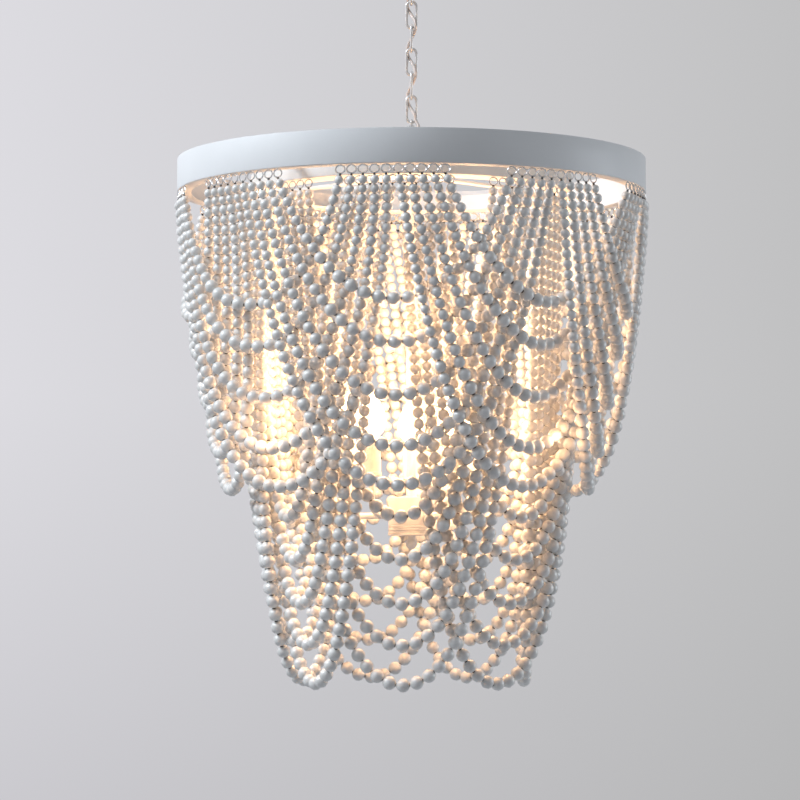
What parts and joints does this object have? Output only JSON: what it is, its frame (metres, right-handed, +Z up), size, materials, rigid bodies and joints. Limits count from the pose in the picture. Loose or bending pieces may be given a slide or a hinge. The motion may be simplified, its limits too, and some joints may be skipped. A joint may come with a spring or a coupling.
{
  "type": "beaded chandelier",
  "caption": "Two-tier chandelier of draped wooden bead strings hung from two white hoops, on a link chain with a round ceiling canopy and candle lamps inside.",
  "frame": {"origin": "middle of the ceiling plane, on the axis that the lamp hangs on", "axes": "+Z up into the ceiling, the lamp hangs along -Z, the front of the picture looks along -Y"},
  "size_m": [0.6056, 0.6056, 0.9673],
  "materials": {
    "white_paint": "matte white paint",
    "chain_paint": "glossy off-white paint on steel wire",
    "fitting_steel": "zinc-plated",
    "clear_cord": "pale clear cable jacket",
    "painted_wood": "satin grey-white paint on turned wooden beads",
    "candle_sleeve": "matte cream",
    "lamp_glass": "frosted, lit warm white"
  },
  "bodies": {
    "ceiling_fitting": {"ceiling_bracket": "fitting_steel", "bracket_nut": "fitting_steel", "canopy_nipple": "fitting_steel", "canopy_cover": "white_paint", "canopy_collar": "white_paint", "canopy_loop": "chain_paint", "supply_cord": "clear_cord"},
    "chain_link_1": {"chain_link_1": "chain_paint"},
    "chain_link_2": {"chain_link_2": "chain_paint"},
    "chain_link_3": {"chain_link_3": "chain_paint"},
    "chain_link_4": {"chain_link_4": "chain_paint"},
    "chain_link_5": {"chain_link_5": "chain_paint"},
    "chain_link_6": {"chain_link_6": "chain_paint"},
    "chandelier": {"top_eye": "chain_paint", "stem_cap": "white_paint", "stem": "white_paint", "frame_spider": "white_paint", "spider_nut": "fitting_steel", "outer_band": "white_paint", "inner_band": "white_paint", "hub_body": "white_paint", "hub_nut": "fitting_steel", "hub_cover": "white_paint", "finial": "white_paint", "lamp_arm_1": "white_paint", "lamp_arm_2": "white_paint", "lamp_arm_3": "white_paint", "lamp_arm_4": "white_paint", "lamp_arm_5": "white_paint", "lamp_holder_1": "candle_sleeve", "lamp_holder_2": "candle_sleeve", "lamp_holder_3": "candle_sleeve", "lamp_holder_4": "candle_sleeve", "lamp_holder_5": "candle_sleeve", "outer_swag_1": "painted_wood", "outer_swag_2": "painted_wood", "outer_swag_3": "painted_wood", "outer_swag_4": "painted_wood", "outer_swag_5": "painted_wood", "outer_swag_6": "painted_wood", "outer_swag_7": "painted_wood", "outer_swag_8": "painted_wood", "outer_swag_9": "painted_wood", "inner_swag_1": "painted_wood", "inner_swag_2": "painted_wood", "inner_swag_3": "painted_wood", "inner_swag_4": "painted_wood", "inner_swag_5": "painted_wood", "inner_swag_6": "painted_wood", "inner_swag_7": "painted_wood"},
    "bulb_1": {"bulb_1": "lamp_glass"},
    "bulb_2": {"bulb_2": "lamp_glass"},
    "bulb_3": {"bulb_3": "lamp_glass"},
    "bulb_4": {"bulb_4": "lamp_glass"},
    "bulb_5": {"bulb_5": "lamp_glass"}
  },
  "joints": [
    {"name": "swing_chain_link_1", "type": "hinge", "parent": "ceiling_fitting", "child": "chain_link_1", "pos_m": [0, 0, -0.05985], "axis": [1, 0, 0], "range_deg": [-9, 9], "deforming": ["supply_cord"]},
    {"name": "swing_chain_link_2", "type": "hinge", "parent": "chain_link_1", "child": "chain_link_2", "pos_m": [0, 0, -0.09045], "axis": [0, 1, 0], "range_deg": [-9, 9], "deforming": ["supply_cord"]},
    {"name": "swing_chain_link_3", "type": "hinge", "parent": "chain_link_2", "child": "chain_link_3", "pos_m": [0, 0, -0.12105], "axis": [1, 0, 0], "range_deg": [-9, 9], "deforming": ["supply_cord"]},
    {"name": "swing_chain_link_4", "type": "hinge", "parent": "chain_link_3", "child": "chain_link_4", "pos_m": [0, 0, -0.15165], "axis": [0, 1, 0], "range_deg": [-9, 9], "deforming": ["supply_cord"]},
    {"name": "swing_chain_link_5", "type": "hinge", "parent": "chain_link_4", "child": "chain_link_5", "pos_m": [0, 0, -0.18225], "axis": [1, 0, 0], "range_deg": [-9, 9], "deforming": ["supply_cord"]},
    {"name": "swing_chain_link_6", "type": "hinge", "parent": "chain_link_5", "child": "chain_link_6", "pos_m": [0, 0, -0.21285], "axis": [0, 1, 0], "range_deg": [-9, 9], "deforming": ["supply_cord"]},
    {"name": "swing_chandelier", "type": "hinge", "parent": "chain_link_6", "child": "chandelier", "pos_m": [0, 0, -0.24345], "axis": [1, 0, 0], "range_deg": [-9, 9], "deforming": ["supply_cord"]},
    {"name": "bulb_1_unscrew", "type": "hinge", "parent": "chandelier", "child": "bulb_1", "pos_m": [0.04996, -0.06877, -0.69], "axis": [0, 0, 1], "range_deg": [0, 1080]},
    {"name": "bulb_2_unscrew", "type": "hinge", "parent": "chandelier", "child": "bulb_2", "pos_m": [0.08084, 0.02627, -0.69], "axis": [0, 0, 1], "range_deg": [0, 1080]},
    {"name": "bulb_3_unscrew", "type": "hinge", "parent": "chandelier", "child": "bulb_3", "pos_m": [0, 0.085, -0.69], "axis": [0, 0, 1], "range_deg": [0, 1080]},
    {"name": "bulb_4_unscrew", "type": "hinge", "parent": "chandelier", "child": "bulb_4", "pos_m": [-0.08084, 0.02627, -0.69], "axis": [0, 0, 1], "range_deg": [0, 1080]},
    {"name": "bulb_5_unscrew", "type": "hinge", "parent": "chandelier", "child": "bulb_5", "pos_m": [-0.04996, -0.06877, -0.69], "axis": [0, 0, 1], "range_deg": [0, 1080]}
  ]
}
